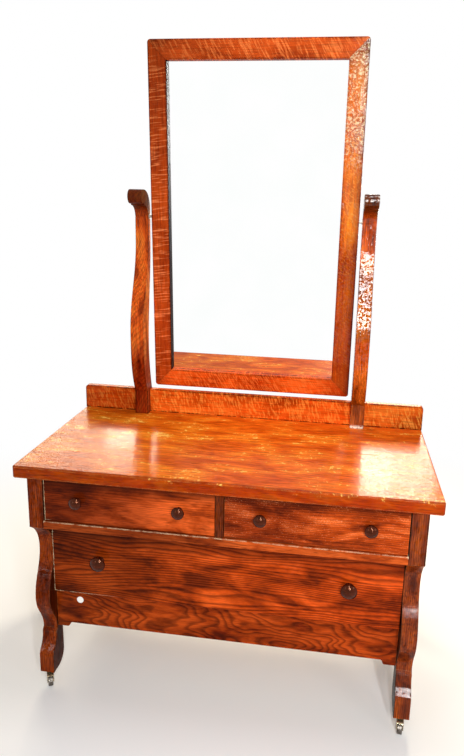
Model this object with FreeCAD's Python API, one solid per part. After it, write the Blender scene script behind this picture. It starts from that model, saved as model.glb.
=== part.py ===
import FreeCAD, Part
import math
import os

# Dresser with a tilting mirror: oak, two small drawers over one long drawer, sawn scroll legs on casters.
# Millimetres, +Z up. Built with x = 0 on the centre plane, z = 0 on the floor and depth (y) measured back
# from the front edge of the top; everything is moved at the end so that the origin lies at the middle of
# the object's base.

Vector = FreeCAD.Vector

# ---- driving dimensions -------------------------------------------------------------------------------
# top board
top_width = 1067.0
top_depth = 510.0
top_thickness = 33.0
top_height = 664.0
top_round = 4.0
top_corner_round = 7.0

# case
side_overhang = 31.0
stile_set_back = 15.0
leg_thickness = 41.0
front_leg_back = 95.0
foot_height = 40.0
rear_leg_depth = 41.0
rail_thickness = 22.0
rail_proud = 3.0
rail_drop = 120.0
middle_rail_depth = 61.0
rear_rail_depth = 30.0
edge_round = 1.5

# sawn front edge of the front legs, as depths behind the top's front edge and heights above the floor
cove_depth = 62.0
cove_height = 408.0
bulge_depth = 24.0
bulge_height = 274.0
neck_depth = 61.0
neck_height = 160.0
crease_depth = 53.0
crease_height = 151.0
leg_round_from = 10.0
shin_depth = 40.5
shin_height = 114.0
toe_depth = 28.0
toe_height = 88.0
heel_round = 37.0

# side frames
side_frame_inset = 4.0
side_rail_thickness = 22.0
side_rail_height = 60.0
side_bottom_rail_height = 170.0
side_panel_thickness = 8.0
side_panel_inset = 11.0
panel_groove = 8.0

# back panel
back_panel_thickness = 6.0
back_panel_bottom = 200.0

# drawers
drawer_side_gap = 1.5
front_gap = 2.0
slide_gap = 0.3
drawer_side_thickness = 12.0
drawer_back_thickness = 12.0
drawer_bottom_thickness = 5.0
drawer_bottom_rise = 10.0
drawer_groove = 6.0
drawer_front_lap = 8.0
drawer_back_space = 8.0
front_round = 1.0
divider_width = 21.0
small_front_set_back = 2.5
small_front_thickness = 20.0
small_side_height = 92.0
long_front_depth = 53.0
long_front_thickness = 20.0
long_opening_height = 208.0
long_side_height = 184.0
runner_width = 34.0
guide_height = 26.0

# apron
apron_depth = 66.0
apron_thickness = 20.0
apron_end_gap = 0.5
apron_height = 116.0
apron_lift = 13.0
apron_bracket_width = 27.5
apron_bracket_curve = 14.0
bottom_rail_depth = 60.0

# knobs, with heights above the bottom of the drawer's opening
small_knob_radius = 16.5
small_knob_projection = 26.0
small_knob_rise = 63.0
small_knob_spread = 267.0
large_knob_radius = 21.0
large_knob_projection = 32.0
large_knob_rise = 107.0
large_knob_spread = 656.0
knob_foot_share = 0.58
knob_foot_height = 2.0
knob_neck_share = 0.46
knob_rim_share = 0.26
knob_dome_share = 0.58
knob_screw_radius = 2.2
knob_screw_reach = 12.0
knob_screw_head = 4.4
knob_screw_head_height = 2.4

# backsplash
backsplash_thickness = 20.0
backsplash_height = 74.0
backsplash_corner = 10.0

# mirror standards: reaches forward of the backsplash's front and rises above the top
post_spread = 675.0
post_thickness = 41.0
post_foot_depth = 27.0
post_knee_rise = 41.0
post_belly_reach = 65.0
post_belly_rise = 268.0
post_hollow_rise = 234.0
post_waist_rise = 546.0
post_waist_thickness = 21.5
post_belly_thickness = 57.0
post_crook_rise = 632.5
post_crook_radius = 59.0
post_inner_radius = 36.5
roll_radius = 20.5
roll_set_back = 14.5
roll_hang = 4.5
roll_drop_angle = 62.0
post_screw_radius = 2.4
post_screw_length = 36.0
post_screw_head = 4.8
post_screw_low = 22.0
post_screw_high = 54.0
post_round_from = 100.0

# mirror, its pivots behind the backsplash's front and above the top
pivot_set_back = 11.0
pivot_rise = 614.0
mirror_gap = 9.5
mirror_above_pivot = 486.0
mirror_below_pivot = 533.0
mirror_tilt = 3.1
frame_width = 54.0
frame_thickness = 22.0
frame_corner_round = 9.0
frame_edge_round = 2.5
glass_thickness = 5.0
glass_seat = 8.0
glass_clearance = 1.0
glass_back_clearance = 0.3
backboard_thickness = 4.0
backboard_lap = 20.0
backboard_screw_radius = 1.6
backboard_screw_length = 14.0
backboard_screw_head = 3.2
backboard_screw_edge = 9.0
backboard_screw_heights = (0.05, 0.35, 0.65, 0.95)

# mirror pivots
pivot_rod_radius = 4.0
pivot_rod_in_post = 22.0
pivot_rod_in_frame = 22.0
pivot_collar_radius = 8.0
pivot_collar_thickness = 2.0
pivot_clearance = 0.05
bush_radius = 7.0
bush_length = 25.0
bush_plate_width = 16.0
bush_plate_height = 44.0
bush_plate_thickness = 1.6

# casters
wheel_radius = 15.0
wheel_width = 13.0
wheel_crown = 1.5
wheel_hub_share = 0.42
wheel_rim_share = 0.7
wheel_dish = 2.1
caster_trail = 18.0
caster_front_depth = 44.0
axle_radius = 2.5
stem_radius = 4.0
stem_length = 34.0
running_clearance = 0.05
socket_radius = 6.0
socket_length = 36.0
socket_flange_radius = 13.0
socket_flange_thickness = 1.6
horn_plate_thickness = 2.5
horn_plate_lift = 1.5
horn_cheek_thickness = 2.0
horn_cheek_gap = 0.6
horn_boss_radius = 7.0
horn_front = 11.0
horn_eye_radius = 6.0
horn_lift_gap = 0.3
caster_names = ("front_left", "front_right", "rear_left", "rear_right")
caster_turns = (-62.0, -97.0, -71.0, -112.0)

# ---- places worked out from them ----------------------------------------------------------------------
top_underside = top_height - top_thickness
case_half = top_width / 2 - side_overhang
leg_inner = case_half - leg_thickness
rail_top = top_underside - rail_drop
rail_bottom = rail_top - rail_thickness
rear_leg_front = top_depth - rear_leg_depth
back_panel_front = top_depth - back_panel_thickness
rear_rail_front = back_panel_front - rear_rail_depth
middle_rail_front = stile_set_back - rail_proud
middle_rail_back = middle_rail_front + middle_rail_depth
long_opening_bottom = rail_bottom - long_opening_height
bottom_rail_front = apron_depth + apron_thickness
bottom_rail_back = bottom_rail_front + bottom_rail_depth
divider_half = divider_width / 2
backsplash_front = top_depth - backsplash_thickness
backsplash_top = top_height + backsplash_height
post_belly_depth = backsplash_front - post_belly_reach
post_belly_height = top_height + post_belly_rise
post_hollow_height = top_height + post_hollow_rise
post_waist_front = backsplash_front
post_waist_height = top_height + post_waist_rise
post_crook_height = top_height + post_crook_rise
pivot_depth = backsplash_front + pivot_set_back
pivot_height = top_height + pivot_rise
post_inner = post_spread / 2 - post_thickness / 2
mirror_half = post_inner - mirror_gap
top_rail_front = stile_set_back + small_front_set_back + small_front_thickness + front_gap
mirror_front = pivot_depth - frame_thickness / 2
mirror_back = pivot_depth + frame_thickness / 2
mirror_bottom = pivot_height - mirror_below_pivot
mirror_top = pivot_height + mirror_above_pivot

# frontmost point, the small knobs' faces, and rearmost point, the lower edge of the leaning mirror's back
tilt = math.radians(mirror_tilt)
board_reach = mirror_below_pivot - frame_width + backboard_lap
rear_reach = max(
    mirror_below_pivot * math.sin(tilt) + frame_thickness / 2 * math.cos(tilt),
    board_reach * math.sin(tilt) + (frame_thickness / 2 + backboard_thickness) * math.cos(tilt))
front_most = stile_set_back + small_front_set_back - small_knob_projection
origin_depth = (front_most + pivot_depth + rear_reach) / 2


# ---- helpers ------------------------------------------------------------------------------------------
def box(x_range, y_range, z_range):
    size = [high - low for low, high in (x_range, y_range, z_range)]
    return Part.makeBox(*size, Vector(x_range[0], y_range[0], z_range[0]))


def rod(start, direction, radius, length):
    return Part.makeCylinder(radius, length, Vector(*start), Vector(*direction))


def line(a, b):
    return Part.makeLine(Vector(*a), Vector(*b))


def arc(a, middle, b):
    return Part.Arc(Vector(*a), Vector(*middle), Vector(*b)).toShape()


def spline(points, first, last):
    curve = Part.BSplineCurve()
    curve.interpolate(Points=[Vector(*p) for p in points],
                      InitialTangent=Vector(*first), FinalTangent=Vector(*last))
    return curve.toShape()


def side_plank(edges, x_from, x_to):
    # a plank sawn to an outline in the depth-height plane
    face = Part.Face(Part.Wire(Part.__sortEdges__(edges)))
    plank = face.extrude(Vector(x_to - x_from, 0, 0))
    plank.translate(Vector(x_from, 0, 0))
    return plank


def turned(points, place, axis):
    # a solid of revolution: points are (radius, distance along the axis)
    wire = Part.makePolygon([Vector(r, 0, h) for r, h in points + points[:1]])
    solid = Part.Face(wire).revolve(Vector(0, 0, 0), Vector(0, 0, 1), 360)
    solid.Placement = FreeCAD.Placement(Vector(*place), FreeCAD.Rotation(Vector(0, 0, 1), Vector(*axis)))
    return solid


def edges_where(solid, test):
    return [edge for edge in solid.Edges if test(edge.BoundBox)]


def rounded(solid, radius, test):
    return solid.makeFillet(radius, edges_where(solid, test))


def other_side(solid):
    return solid.mirror(Vector(0, 0, 0), Vector(1, 0, 0))


def along_x(bb):
    return bb.YLength < 0.01 and bb.ZLength < 0.01


def along_y(bb):
    return bb.XLength < 0.01 and bb.ZLength < 0.01


def along_z(bb):
    return bb.XLength < 0.01 and bb.YLength < 0.01


def wood_screw(start, direction, radius, length, head_radius):
    # countersunk screw: its flat head lies at start, flush with the wood
    head = head_radius - radius
    points = [(0, 0), (head_radius, 0), (radius, head), (radius, length - radius), (0, length)]
    return turned(points, start, direction)


nodes = {}


def keep(name, solid):
    nodes[name] = solid


# ---- casters ------------------------------------------------------------------------------------------
def caster_places():
    rear = rear_leg_front + rear_leg_depth / 2
    side = case_half - leg_thickness / 2
    return ((-side, caster_front_depth), (side, caster_front_depth), (-side, rear), (side, rear))


def caster_socket(x, y):
    flange = rod((x, y, foot_height - socket_flange_thickness), (0, 0, 1),
                 socket_flange_radius, socket_flange_thickness)
    sleeve = rod((x, y, foot_height), (0, 0, 1), socket_radius, socket_length)
    bore = rod((x, y, 0), (0, 0, 1), stem_radius + running_clearance, foot_height + stem_length + 1)
    return flange.fuse(sleeve).cut(bore)


def caster_hole(x, y):
    return rod((x, y, foot_height), (0, 0, 1), socket_radius, socket_length)


def caster_horn():
    # built with the swivel axis at x = y = 0 and the wheel trailing along +X
    plate_low = 2 * wheel_radius + horn_plate_lift
    plate_high = plate_low + horn_plate_thickness
    boss_high = foot_height - socket_flange_thickness - horn_lift_gap
    inner_half = wheel_width / 2 + horn_cheek_gap
    outer_half = inner_half + horn_cheek_thickness
    plate = box((-horn_front, caster_trail), (-outer_half, outer_half), (plate_low, plate_high))
    plate = plate.fuse(rod((caster_trail, -outer_half, plate_high - outer_half), (0, 1, 0),
                           outer_half, 2 * outer_half).common(
        box((0, caster_trail + outer_half), (-outer_half, outer_half), (plate_low, plate_high))))
    boss = rod((0, 0, plate_high), (0, 0, 1), horn_boss_radius, boss_high - plate_high)
    stem = rod((0, 0, plate_high), (0, 0, 1), stem_radius, foot_height + stem_length - plate_high)
    horn = plate.fuse([boss, stem])
    corners = [(-horn_front, plate_low), (caster_trail + horn_eye_radius, plate_low),
               (caster_trail + horn_eye_radius, wheel_radius), (caster_trail - horn_eye_radius, wheel_radius)]
    for side in (-1, 1):
        y = side * (inner_half + horn_cheek_thickness / 2) - horn_cheek_thickness / 2
        outline = Part.makePolygon([Vector(a, y, b) for a, b in corners + corners[:1]])
        cheek = Part.Face(outline).extrude(Vector(0, horn_cheek_thickness, 0))
        eye = rod((caster_trail, y, wheel_radius), (0, 1, 0), horn_eye_radius, horn_cheek_thickness)
        horn = horn.fuse(cheek.fuse(eye))
    axle = rod((caster_trail, -outer_half, wheel_radius), (0, 1, 0), axle_radius, 2 * outer_half)
    return horn.removeSplitter().cut(axle), axle


def caster_wheel():
    half = wheel_width / 2
    shoulder = wheel_radius - wheel_crown
    bore = axle_radius + running_clearance
    hub = wheel_radius * wheel_hub_share
    rim = wheel_radius * wheel_rim_share
    dish = wheel_dish
    points = [(bore, -half), (hub, -half), (hub + dish, -half + dish), (rim, -half + dish),
              (rim + dish, -half), (shoulder, -half), (wheel_radius, -half + wheel_crown),
              (wheel_radius, half - wheel_crown), (shoulder, half), (rim + dish, half),
              (rim, half - dish), (hub + dish, half - dish), (hub, half), (bore, half)]
    return turned(points, (caster_trail, 0, wheel_radius), (0, 1, 0))


def make_casters():
    places = caster_places()
    keep("caster_sockets", Part.makeCompound([caster_socket(x, y) for x, y in places]))
    for name, (x, y), turn in zip(caster_names, places, caster_turns):
        horn, axle = caster_horn()
        spot = FreeCAD.Placement(Vector(x, y, 0), FreeCAD.Rotation(Vector(0, 0, 1), turn))
        horn.Placement = spot
        axle.Placement = spot
        keep("caster_horn_" + name, Part.makeCompound([horn, axle]))
        keep("caster_wheel_" + name, caster_wheel().transformed(spot.toMatrix()))


# ---- case ---------------------------------------------------------------------------------------------
def front_leg_outline():
    # front edge from the underside of the top down: stile, cove, bulge, neck, crease and scroll foot
    stile_bottom = rail_bottom
    recess = cove_depth - stile_set_back
    drop = stile_bottom - cove_height
    radius = (recess ** 2 + drop ** 2) / (2 * recess)
    half_angle = math.asin(drop / radius) / 2
    cove_middle = (0, cove_depth - radius + radius * math.cos(half_angle),
                   cove_height + radius * math.sin(half_angle))
    top_front = (0, stile_set_back, top_underside)
    stile_end = (0, stile_set_back, stile_bottom)
    cove = (0, cove_depth, cove_height)
    bulge = (0, bulge_depth, bulge_height)
    neck = (0, neck_depth, neck_height)
    crease = (0, crease_depth, crease_height)
    shin = (0, shin_depth, shin_height)
    toe = (0, toe_depth, toe_height)
    toe_end = (0, toe_depth, foot_height)
    heel_start = (0, front_leg_back - heel_round, foot_height)
    heel_end = (0, front_leg_back, foot_height + heel_round)
    corner = heel_round * (1 - math.cos(math.pi / 4))
    heel_middle = (0, front_leg_back - corner, foot_height + corner)
    top_back = (0, front_leg_back, top_underside)
    down = (0, 0, -1)
    return [line(top_front, stile_end),
            arc(stile_end, cove_middle, cove),
            spline([cove, bulge], down, down),
            spline([bulge, neck], down, down),
            line(neck, crease),
            spline([crease, shin, toe], down, down),
            line(toe, toe_end), line(toe_end, heel_start),
            arc(heel_start, heel_middle, heel_end),
            line(heel_end, top_back), line(top_back, top_front)]


def make_front_legs(panel, sockets):
    leg = side_plank(front_leg_outline(), leg_inner, case_half)
    leg = rounded(leg, edge_round, lambda bb: bb.XLength < 0.01 and bb.ZLength > leg_round_from
                  and bb.YMax < cove_depth + 1)
    leg = leg.cut(panel).cut(sockets)
    keep("front_leg_right", leg)
    keep("front_leg_left", other_side(leg))


def make_rear_legs(panel, sockets):
    leg = box((leg_inner, case_half), (rear_leg_front, top_depth), (foot_height, top_underside))
    leg = rounded(leg, edge_round, lambda bb: along_z(bb) and bb.XMin > case_half - 0.1)
    leg = leg.cut(panel).cut(sockets)
    keep("rear_leg_right", leg)
    keep("rear_leg_left", other_side(leg))


def make_sides():
    outer = case_half - side_frame_inset
    inner = outer - side_rail_thickness
    panel_outer = case_half - side_panel_inset
    depths = (front_leg_back, rear_leg_front)
    top_rail_low = top_underside - side_rail_height
    bottom_rail_high = side_bottom_rail_height + side_rail_height
    panel = box((panel_outer - side_panel_thickness, panel_outer),
                (depths[0] - panel_groove, depths[1] + panel_groove),
                (bottom_rail_high - panel_groove, top_rail_low + panel_groove))
    top_rail = box((inner, outer), depths, (top_rail_low, top_underside))
    bottom_rail = box((inner, outer), depths, (side_bottom_rail_height, bottom_rail_high))
    for name, solid in (("side_panel", panel), ("side_top_rail", top_rail.cut(panel)),
                        ("side_bottom_rail", bottom_rail.cut(panel))):
        keep(name + "_right", solid)
        keep(name + "_left", other_side(solid))
    return panel


def make_top():
    half = top_width / 2
    top = box((-half, half), (0, top_depth), (top_underside, top_height))
    top = rounded(top, top_corner_round, lambda bb: along_z(bb) and bb.YMax < 1)
    top = rounded(top, top_round, lambda bb: bb.ZLength < 0.01
                  and not (along_x(bb) and bb.YMin > top_depth / 2))
    keep("top_board", top)


def make_backsplash(screws):
    half = top_width / 2
    board = box((-half, half), (backsplash_front, top_depth), (top_height, backsplash_top))
    board = rounded(board, backsplash_corner, lambda bb: along_y(bb) and bb.ZMin > backsplash_top - 1)
    board = rounded(board, edge_round, lambda bb: bb.YLength < 0.01 and bb.ZMax > top_height + 1)
    keep("backsplash", board.cut(screws))


def make_rails():
    span = (-leg_inner, leg_inner)
    middle = box(span, (middle_rail_front, middle_rail_back), (rail_bottom, rail_top))
    middle = rounded(middle, edge_round, lambda bb: along_x(bb) and bb.YMax < middle_rail_front + 1)
    keep("middle_rail", middle)

    def rail(depths, high):
        return box(span, depths, (high - rail_thickness, high))

    keep("top_front_rail", rail((top_rail_front, front_leg_back), top_underside))
    keep("bottom_front_rail", rail((bottom_rail_front, bottom_rail_back), long_opening_bottom))
    levels = (top_underside, rail_top, long_opening_bottom)
    keep("rear_rails", Part.makeCompound([rail((rear_rail_front, back_panel_front), z) for z in levels]))


def make_divider():
    span = (-divider_half, divider_half)
    notch = box(span, (top_rail_front, middle_rail_back), (top_underside - rail_thickness, top_underside))
    divider = box(span, (stile_set_back, middle_rail_back), (rail_top, top_underside)).cut(notch)
    divider = rounded(divider, edge_round, lambda bb: along_z(bb) and bb.YMax < stile_set_back + 1)
    keep("drawer_divider", divider)


def make_runners():
    side_inner = case_half - side_frame_inset - side_rail_thickness
    low = leg_inner - runner_width
    depths = (middle_rail_back, rear_rail_front)
    guide_depths = (front_leg_back, rear_leg_front)

    def side_runner(z_top, deck_depths):
        deck = box((low, leg_inner), deck_depths, (z_top - rail_thickness, z_top))
        guide = box((leg_inner, side_inner), guide_depths, (z_top - rail_thickness, z_top + guide_height))
        return deck.fuse(guide).removeSplitter()

    deck = box((-divider_half - runner_width, divider_half + runner_width), depths,
               (rail_top - rail_thickness, rail_top))
    guide = box((-divider_half, divider_half), depths, (rail_top, rail_top + guide_height))
    upper = side_runner(rail_top, depths)
    lower = side_runner(long_opening_bottom, (bottom_rail_back, rear_rail_front))
    between = deck.fuse(guide).removeSplitter()
    keep("small_drawer_runners", Part.makeCompound([upper, other_side(upper), between]))
    keep("long_drawer_runners", Part.makeCompound([lower, other_side(lower)]))


def make_apron():
    half = leg_inner - apron_end_gap
    top = long_opening_bottom
    low = top - apron_height
    high = low + apron_lift
    bracket = half - apron_bracket_width
    raised = bracket - apron_bracket_curve
    level = (1, 0, 0)
    edges = [line((-half, 0, top), (half, 0, top)),
             line((half, 0, top), (half, 0, low)),
             line((half, 0, low), (bracket, 0, low)),
             spline([(raised, 0, high), (bracket, 0, low)], level, level),
             line((raised, 0, high), (-raised, 0, high)),
             spline([(-bracket, 0, low), (-raised, 0, high)], level, level),
             line((-bracket, 0, low), (-half, 0, low)),
             line((-half, 0, low), (-half, 0, top))]
    face = Part.Face(Part.Wire(Part.__sortEdges__(edges)))
    face.translate(Vector(0, apron_depth, 0))
    board = face.extrude(Vector(0, apron_thickness, 0))
    board = rounded(board, edge_round, lambda bb: along_x(bb) and bb.YMax < apron_depth + 1
                    and bb.XLength > half)
    keep("apron", board)


def make_back():
    span = (-leg_inner, leg_inner)
    keep("back_panel", box(span, (back_panel_front, top_depth), (back_panel_bottom, top_underside)))


# ---- drawers ------------------------------------------------------------------------------------------
def knob(x, face, height, radius, projection):
    # turned knob: foot, hollow neck, rounded rim and a domed face, all about an axis that points forward
    foot = radius * knob_foot_share
    neck = radius * knob_neck_share
    rim = radius * knob_rim_share
    rim_height = projection - radius * knob_dome_share
    under = rim_height - rim
    dome_rise = projection - rim_height
    rim_centre = radius - rim
    dome = (rim_centre ** 2 + dome_rise ** 2 - rim ** 2) / (2 * (dome_rise - rim))
    lean = math.atan2(rim_centre, dome - dome_rise)
    half_lean = lean / 2
    meet = (dome * math.sin(lean), 0, projection - dome + dome * math.cos(lean))
    half_way = (dome * math.sin(half_lean), 0, projection - dome + dome * math.cos(half_lean))
    edges = [line((0, 0, 0), (foot, 0, 0)),
             line((foot, 0, 0), (foot, 0, knob_foot_height)),
             arc((foot, 0, knob_foot_height), (neck, 0, (knob_foot_height + under) / 2), (foot, 0, under)),
             line((foot, 0, under), (rim_centre, 0, under)),
             arc((rim_centre, 0, under), (radius, 0, rim_height), meet),
             arc(meet, half_way, (0, 0, projection)),
             line((0, 0, projection), (0, 0, 0))]
    solid = Part.Face(Part.Wire(edges)).revolve(Vector(0, 0, 0), Vector(0, 0, 1), 360)
    solid.Placement = FreeCAD.Placement(Vector(x, face, height),
                                        FreeCAD.Rotation(Vector(0, 0, 1), Vector(0, -1, 0)))
    return solid


def knob_screw(x, face, height, front_thickness):
    inside = face + front_thickness
    head = rod((x, inside, height), (0, 1, 0), knob_screw_head, knob_screw_head_height)
    shank = rod((x, inside, height), (0, -1, 0), knob_screw_radius, front_thickness + knob_screw_reach)
    return head.fuse(shank).removeSplitter()


def make_drawer(name, x_low, x_high, face, front, sides, knobs):
    # front is (thickness, low, high); sides is (low, height); knobs is (centres, height, radius, projection)
    thickness, front_low, front_high = front
    side_low, side_height = sides
    side_high = side_low + side_height
    inside = face + thickness
    rear = rear_rail_front - drawer_back_space
    bottom_low = side_low + drawer_bottom_rise
    inner_low = x_low + drawer_side_thickness
    inner_high = x_high - drawer_side_thickness

    side_start = face + drawer_front_lap
    left = box((x_low, inner_low), (side_start, rear), (side_low, side_high))
    right = box((inner_high, x_high), (side_start, rear), (side_low, side_high))
    bottom = box((inner_low - drawer_groove, inner_high + drawer_groove),
                 (inside - drawer_groove, rear), (bottom_low, bottom_low + drawer_bottom_thickness))
    back = box((inner_low, inner_high), (rear - drawer_back_thickness, rear),
               (bottom_low + drawer_bottom_thickness, side_high))
    centres, knob_height, radius, projection = knobs
    turned_knobs = [knob(x, face, knob_height, radius, projection) for x in centres]
    screws = [knob_screw(x, face, knob_height, thickness) for x in centres]
    board = box((x_low, x_high), (face, inside), (front_low, front_high))
    board = rounded(board, front_round, lambda bb: bb.YLength < 0.01 and bb.YMax < face + 0.1)
    board = board.cut([left, right, bottom] + screws)
    keep(name + "_front", board)
    keep(name + "_sides", Part.makeCompound([left.cut(bottom), right.cut(bottom)]))
    keep(name + "_bottom", bottom)
    keep(name + "_back", back)
    keep(name + "_knobs", Part.makeCompound([solid.cut(screw) for solid, screw in zip(turned_knobs, screws)]))
    keep(name + "_knob_screws", Part.makeCompound(screws))


def make_drawers():
    small_face = stile_set_back + small_front_set_back
    inner = divider_half + drawer_side_gap
    outer = leg_inner - drawer_side_gap
    small_front = (small_front_thickness, rail_top + front_gap, top_underside - front_gap)
    small_sides = (rail_top + slide_gap, small_side_height)
    middle = (inner + outer) / 2
    for name, sign in (("left_drawer", -1), ("right_drawer", 1)):
        centres = [sign * middle + s * small_knob_spread / 2 for s in (-1, 1)]
        low, high = sorted((sign * inner, sign * outer))
        make_drawer(name, low, high, small_face, small_front, small_sides,
                    (centres, rail_top + small_knob_rise, small_knob_radius, small_knob_projection))
    long_front = (long_front_thickness, long_opening_bottom + front_gap, rail_bottom - front_gap)
    long_sides = (long_opening_bottom + slide_gap, long_side_height)
    centres = [s * large_knob_spread / 2 for s in (-1, 1)]
    make_drawer("long_drawer", -outer, outer, long_front_depth, long_front, long_sides,
                (centres, long_opening_bottom + large_knob_rise, large_knob_radius,
                 large_knob_projection))


# ---- mirror standards ---------------------------------------------------------------------------------
def post_outline():
    # front edge up from the foot, over the crook and its roll, and down the back to the notch that sits
    # over the backsplash
    foot_front = backsplash_front - post_foot_depth
    belly_back = post_belly_depth + post_belly_thickness
    waist_back = post_waist_front + post_waist_thickness
    crook_centre = (waist_back - post_crook_radius, post_crook_height)
    crown = post_crook_height + post_crook_radius
    roll_centre = (post_belly_depth + roll_set_back, crown - roll_radius)
    inner_height = crown - roll_radius * 2 - post_inner_radius - roll_hang
    inner_centre = (post_waist_front - post_inner_radius, inner_height)
    drop = math.radians(roll_drop_angle)

    def at(depth, height):
        return (0, depth, height)

    def around(centre, radius, angle):
        return at(centre[0] + radius * math.cos(angle), centre[1] + radius * math.sin(angle))

    eighth = math.pi / 4

    foot = at(foot_front, top_height)
    shoulder = at(foot_front, backsplash_top)
    knee = at((foot_front + post_belly_depth) / 2, backsplash_top + post_knee_rise)
    belly = at(post_belly_depth, post_belly_height)
    waist = at(post_waist_front, post_waist_height)
    waist_end = at(post_waist_front, inner_height)
    inner_middle = around(inner_centre, post_inner_radius, eighth)
    inner_end = around(inner_centre, post_inner_radius, 2 * eighth)
    roll_start = around(roll_centre, roll_radius, -drop)
    roll_front = around(roll_centre, roll_radius, 4 * eighth)
    roll_top = around(roll_centre, roll_radius, 2 * eighth)
    crook_top = around(crook_centre, post_crook_radius, 2 * eighth)
    crook_middle = around(crook_centre, post_crook_radius, eighth)
    crook_end = around(crook_centre, post_crook_radius, 0)
    back_waist = at(waist_back, post_waist_height)
    back_belly = at(belly_back, post_hollow_height)
    notch_back = at(top_depth, backsplash_top)
    notch_front = at(backsplash_front, backsplash_top)
    foot_back = at(backsplash_front, top_height)
    up = (0, 0, 1)
    down = (0, 0, -1)
    return [line(foot, shoulder),
            spline([shoulder, knee, belly], (0, -0.55, 1), up),
            spline([belly, waist], up, up),
            line(waist, waist_end),
            arc(waist_end, inner_middle, inner_end),
            line(inner_end, roll_start),
            arc(roll_start, roll_front, roll_top),
            line(roll_top, crook_top),
            arc(crook_top, crook_middle, crook_end),
            line(crook_end, back_waist),
            spline([back_waist, back_belly], down, down),
            spline([back_belly, notch_back], down, (0, 0.3, -1)),
            line(notch_back, notch_front),
            line(notch_front, foot_back),
            line(foot_back, foot)]


def post_screws():
    solids = []
    for side in (-1, 1):
        for rise in (post_screw_low, post_screw_high):
            start = (side * post_spread / 2, top_depth, top_height + rise)
            solids.append(wood_screw(start, (0, -1, 0), post_screw_radius, post_screw_length,
                                     post_screw_head))
    return solids


def make_posts(screws, rods):
    post = side_plank(post_outline(), post_inner, post_inner + post_thickness)
    post = rounded(post, edge_round, lambda bb: bb.XLength < 0.01 and bb.ZLength > post_round_from)
    post = post.cut(screws).cut(rods)
    keep("mirror_post_right", post)
    keep("mirror_post_left", other_side(post))


# ---- mirror -------------------------------------------------------------------------------------------
def pivot_rods():
    shaft_start = mirror_half - pivot_rod_in_frame
    shaft_end = post_inner + pivot_rod_in_post
    length = shaft_end - shaft_start
    shaft = rod((shaft_start, pivot_depth, pivot_height), (1, 0, 0), pivot_rod_radius, length)
    collar = rod((post_inner - pivot_collar_thickness, pivot_depth, pivot_height), (1, 0, 0),
                 pivot_collar_radius, pivot_collar_thickness)
    return shaft.fuse(collar).removeSplitter()


def pivot_bush():
    # flanged metal bush let into the frame's edge, in the mirror's upright position
    start = mirror_half - bush_length
    sleeve = rod((start, pivot_depth, pivot_height), (1, 0, 0), bush_radius, bush_length)
    plate = box((mirror_half - bush_plate_thickness, mirror_half),
                (pivot_depth - bush_plate_width / 2, pivot_depth + bush_plate_width / 2),
                (pivot_height - bush_plate_height / 2, pivot_height + bush_plate_height / 2))
    return sleeve.fuse(plate).removeSplitter()


def frame_member(outer, thickness_range, corner_points):
    face = Part.Face(Part.makePolygon([Vector(x, thickness_range[0], z) for x, z in corner_points
                                       + corner_points[:1]]))
    return face.extrude(Vector(0, thickness_range[1] - thickness_range[0], 0)).common(outer)


def make_mirror(tilted):
    low, high = mirror_bottom, mirror_top
    in_half = mirror_half - frame_width
    in_low, in_high = low + frame_width, high - frame_width
    seat_depth = glass_thickness + glass_back_clearance
    whole = box((-mirror_half, mirror_half), (mirror_front, mirror_back), (low, high))
    whole = rounded(whole, frame_corner_round, along_y)
    whole = whole.makeFillet(frame_edge_round, [
        edge for edge in whole.Edges if edge.BoundBox.YMax < mirror_front + 0.01])
    opening = box((-in_half, in_half), (mirror_front - 1, mirror_back + 1), (in_low, in_high))
    seat_half = in_half + glass_seat
    seat = box((-seat_half, seat_half), (mirror_back - seat_depth, mirror_back + 1),
               (in_low - glass_seat, in_high + glass_seat))
    whole = whole.cut([opening, seat])
    whole = rounded(whole, frame_edge_round, lambda bb: bb.YLength < 0.01 and bb.YMax < mirror_front + 0.01
                    and abs(bb.XMax) < in_half + 0.01 and abs(bb.XMin) < in_half + 0.01)
    bush = pivot_bush()
    bushes = [bush, other_side(bush)]
    bore = rod((-mirror_half - 1, pivot_depth, pivot_height), (1, 0, 0),
               pivot_rod_radius + pivot_clearance, 2 * mirror_half + 2)
    screws = backboard_screws(in_half, in_low, in_high)
    whole = whole.cut(bushes + screws)

    thickness_range = (mirror_front - 1, mirror_back + 1)
    stile = [(mirror_half, low), (mirror_half, high), (in_half, in_high), (in_half, in_low)]
    upper = [(-mirror_half, high), (mirror_half, high), (in_half, in_high), (-in_half, in_high)]
    lower = [(-mirror_half, low), (mirror_half, low), (in_half, in_low), (-in_half, in_low)]
    right = frame_member(whole, thickness_range, stile)
    board_half = in_half + backboard_lap
    board = box((-board_half, board_half), (mirror_back, mirror_back + backboard_thickness),
                (in_low - backboard_lap, in_high + backboard_lap))
    glass_half = seat_half - glass_clearance
    glass = box((-glass_half, glass_half), (mirror_back - seat_depth, mirror_back - glass_back_clearance),
                (in_low - glass_seat + glass_clearance, in_high + glass_seat - glass_clearance))
    pieces = {"mirror_stile_right": right,
              "mirror_stile_left": other_side(right),
              "mirror_rail_top": frame_member(whole, thickness_range, upper),
              "mirror_rail_bottom": frame_member(whole, thickness_range, lower),
              "mirror_glass": glass,
              "mirror_backboard": board.cut(screws),
              "backboard_screws": Part.makeCompound(screws),
              "pivot_bushes": Part.makeCompound([solid.cut(bore) for solid in bushes])}
    for name, solid in pieces.items():
        keep(name, tilted(solid))


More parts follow.
